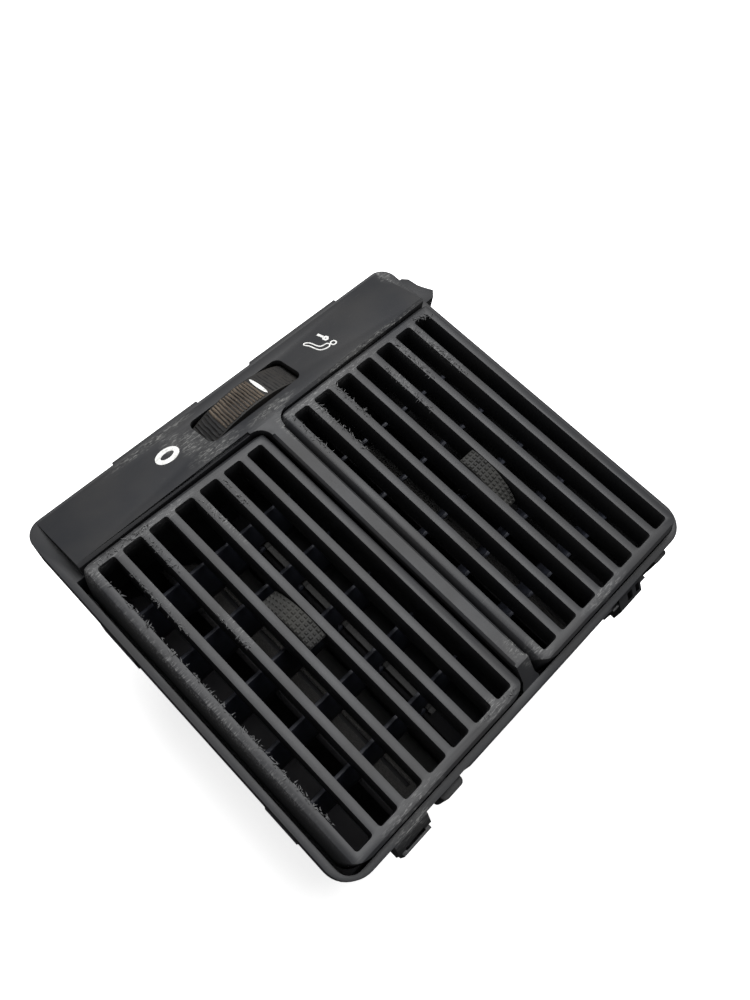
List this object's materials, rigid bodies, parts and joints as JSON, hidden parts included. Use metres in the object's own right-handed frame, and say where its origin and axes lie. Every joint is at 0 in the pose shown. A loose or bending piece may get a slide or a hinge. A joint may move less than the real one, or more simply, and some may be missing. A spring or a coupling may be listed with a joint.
{
  "type": "twin dashboard air vent",
  "caption": "Car dashboard air vent with two tilting louvre frames, linked cross vanes with steering knobs, and a thumbwheel that turns the shut-off flaps.",
  "frame": {"origin": "on the plane of the rear collar rims, at the middle of the bezel outline", "axes": "+X along the control band from the closed mark to the open mark, +Y across the vent towards the band, +Z out of the face"},
  "size_m": [0.1643, 0.146, 0.088],
  "materials": {
    "bezel_plastic": "charcoal moulding with a fine grain, dusty and scuffed along its edges",
    "louvre_plastic": "charcoal moulding, worn along the slats",
    "housing_plastic": "plain black moulding",
    "vane_plastic": "plain black moulding",
    "knob_plastic": "knurled and dusty",
    "wheel_plastic": "ribbed, with brownish dust between the ribs and a white mark",
    "link_plastic": "uncoloured slippery plastic",
    "bush_felt": "pressed felt",
    "foam": "soft sealing foam",
    "axle_steel": "turned pin"
  },
  "bodies": {
    "vent_body": {"bezel": "bezel_plastic", "rear_housing": "housing_plastic", "left_lower_bush": "bush_felt", "left_upper_bush": "bush_felt", "right_lower_bush": "bush_felt", "right_upper_bush": "bush_felt", "thumbwheel_axle": "axle_steel", "left_duct_gasket": "foam", "right_duct_gasket": "foam"},
    "left_louvre": {"left_louvre_frame": "louvre_plastic"},
    "left_vane_1": {"left_vane_1": "vane_plastic"},
    "left_vane_2": {"left_vane_2": "vane_plastic"},
    "left_vane_3": {"left_vane_3": "vane_plastic", "left_vane_knob": "knob_plastic"},
    "left_vane_4": {"left_vane_4": "vane_plastic"},
    "left_vane_5": {"left_vane_5": "vane_plastic"},
    "left_vane_link": {"left_vane_link": "link_plastic"},
    "right_louvre": {"right_louvre_frame": "louvre_plastic"},
    "right_vane_1": {"right_vane_1": "vane_plastic"},
    "right_vane_2": {"right_vane_2": "vane_plastic"},
    "right_vane_3": {"right_vane_3": "vane_plastic", "right_vane_knob": "knob_plastic"},
    "right_vane_4": {"right_vane_4": "vane_plastic"},
    "right_vane_5": {"right_vane_5": "vane_plastic"},
    "right_vane_link": {"right_vane_link": "link_plastic"},
    "thumbwheel": {"shutoff_thumbwheel": "wheel_plastic"},
    "shutoff_link": {"shutoff_link": "link_plastic"},
    "left_flap": {"left_shutoff_flap": "vane_plastic", "left_flap_seal": "foam", "left_flap_lever": "link_plastic"},
    "right_flap": {"right_shutoff_flap": "vane_plastic", "right_flap_seal": "foam", "right_flap_lever": "link_plastic"}
  },
  "joints": [
    {"name": "left_tilt", "type": "hinge", "parent": "vent_body", "child": "left_louvre", "pos_m": [-0.0383, 0, 0.076], "axis": [0, 1, 0], "range_deg": [-17, 13]},
    {"name": "left_vane_3_turn", "type": "hinge", "parent": "left_louvre", "child": "left_vane_3", "pos_m": [-0.03865, -0.0102, 0.06601], "axis": [0.9994, 0, -0.0349], "range_deg": [-17.2, 42.8]},
    {"name": "left_vane_1_turn", "type": "hinge", "parent": "left_louvre", "child": "left_vane_1", "pos_m": [-0.03865, -0.0474, 0.06601], "axis": [0.9994, 0, -0.0349], "range_deg": [-17.2, 42.8]},
    {"name": "left_vane_2_turn", "type": "hinge", "parent": "left_louvre", "child": "left_vane_2", "pos_m": [-0.03865, -0.0288, 0.06601], "axis": [0.9994, 0, -0.0349], "range_deg": [-17.2, 42.8]},
    {"name": "left_vane_4_turn", "type": "hinge", "parent": "left_louvre", "child": "left_vane_4", "pos_m": [-0.03865, 0.0084, 0.06601], "axis": [0.9994, 0, -0.0349], "range_deg": [-17.2, 42.8]},
    {"name": "left_vane_5_turn", "type": "hinge", "parent": "left_louvre", "child": "left_vane_5", "pos_m": [-0.03865, 0.027, 0.06601], "axis": [0.9994, 0, -0.0349], "range_deg": [-17.2, 42.8]},
    {"name": "left_vane_link_pivot", "type": "hinge", "parent": "left_vane_3", "child": "left_vane_link", "pos_m": [-0.021, -0.01242, 0.05563], "axis": [0.9994, 0, -0.0349], "range_deg": [-42.8, 17.2]},
    {"name": "right_tilt", "type": "hinge", "parent": "vent_body", "child": "right_louvre", "pos_m": [0.0383, 0, 0.076], "axis": [0, 1, 0], "range_deg": [-16.5, 13.5]},
    {"name": "right_vane_3_turn", "type": "hinge", "parent": "right_louvre", "child": "right_vane_3", "pos_m": [0.03804, -0.0102, 0.066], "axis": [0.9997, 0, -0.0262], "range_deg": [-46.4, 13.6]},
    {"name": "right_vane_1_turn", "type": "hinge", "parent": "right_louvre", "child": "right_vane_1", "pos_m": [0.03804, -0.0474, 0.066], "axis": [0.9997, 0, -0.0262], "range_deg": [-46.4, 13.6]},
    {"name": "right_vane_2_turn", "type": "hinge", "parent": "right_louvre", "child": "right_vane_2", "pos_m": [0.03804, -0.0288, 0.066], "axis": [0.9997, 0, -0.0262], "range_deg": [-46.4, 13.6]},
    {"name": "right_vane_4_turn", "type": "hinge", "parent": "right_louvre", "child": "right_vane_4", "pos_m": [0.03804, 0.0084, 0.066], "axis": [0.9997, 0, -0.0262], "range_deg": [-46.4, 13.6]},
    {"name": "right_vane_5_turn", "type": "hinge", "parent": "right_louvre", "child": "right_vane_5", "pos_m": [0.03804, 0.027, 0.066], "axis": [0.9997, 0, -0.0262], "range_deg": [-46.4, 13.6]},
    {"name": "right_vane_link_pivot", "type": "hinge", "parent": "right_vane_3", "child": "right_vane_link", "pos_m": [0.05578, -0.00738, 0.05594], "axis": [0.9997, 0, -0.0262], "range_deg": [-13.6, 46.4]},
    {"name": "thumbwheel_turn", "type": "hinge", "parent": "vent_body", "child": "thumbwheel", "pos_m": [0.0013, 0.0585, 0.0537], "axis": [0, 1, 0], "range_deg": [-39.5, 20.5]},
    {"name": "shutoff_link_pivot", "type": "hinge", "parent": "thumbwheel", "child": "shutoff_link", "pos_m": [-0.00101, 0.0519, 0.03989], "axis": [0, 1, 0], "range_deg": [-20.5, 39.5]},
    {"name": "left_flap_turn", "type": "hinge", "parent": "vent_body", "child": "left_flap", "pos_m": [-0.039, -0.01, 0.027], "axis": [0, 1, 0], "range_deg": [-39.5, 20.5]},
    {"name": "right_flap_turn", "type": "hinge", "parent": "vent_body", "child": "right_flap", "pos_m": [0.039, -0.01, 0.027], "axis": [0, 1, 0], "range_deg": [-39.5, 20.5]}
  ],
  "couplings": [
    {"joint": "left_vane_1_turn", "follows": "left_vane_3_turn", "ratio": 1},
    {"joint": "left_vane_2_turn", "follows": "left_vane_3_turn", "ratio": 1},
    {"joint": "left_vane_4_turn", "follows": "left_vane_3_turn", "ratio": 1},
    {"joint": "left_vane_5_turn", "follows": "left_vane_3_turn", "ratio": 1},
    {"joint": "left_vane_link_pivot", "follows": "left_vane_3_turn", "ratio": -1},
    {"joint": "right_vane_1_turn", "follows": "right_vane_3_turn", "ratio": 1},
    {"joint": "right_vane_2_turn", "follows": "right_vane_3_turn", "ratio": 1},
    {"joint": "right_vane_4_turn", "follows": "right_vane_3_turn", "ratio": 1},
    {"joint": "right_vane_5_turn", "follows": "right_vane_3_turn", "ratio": 1},
    {"joint": "right_vane_link_pivot", "follows": "right_vane_3_turn", "ratio": -1},
    {"joint": "shutoff_link_pivot", "follows": "thumbwheel_turn", "ratio": -1},
    {"joint": "left_flap_turn", "follows": "thumbwheel_turn", "ratio": 1},
    {"joint": "right_flap_turn", "follows": "thumbwheel_turn", "ratio": 1}
  ]
}
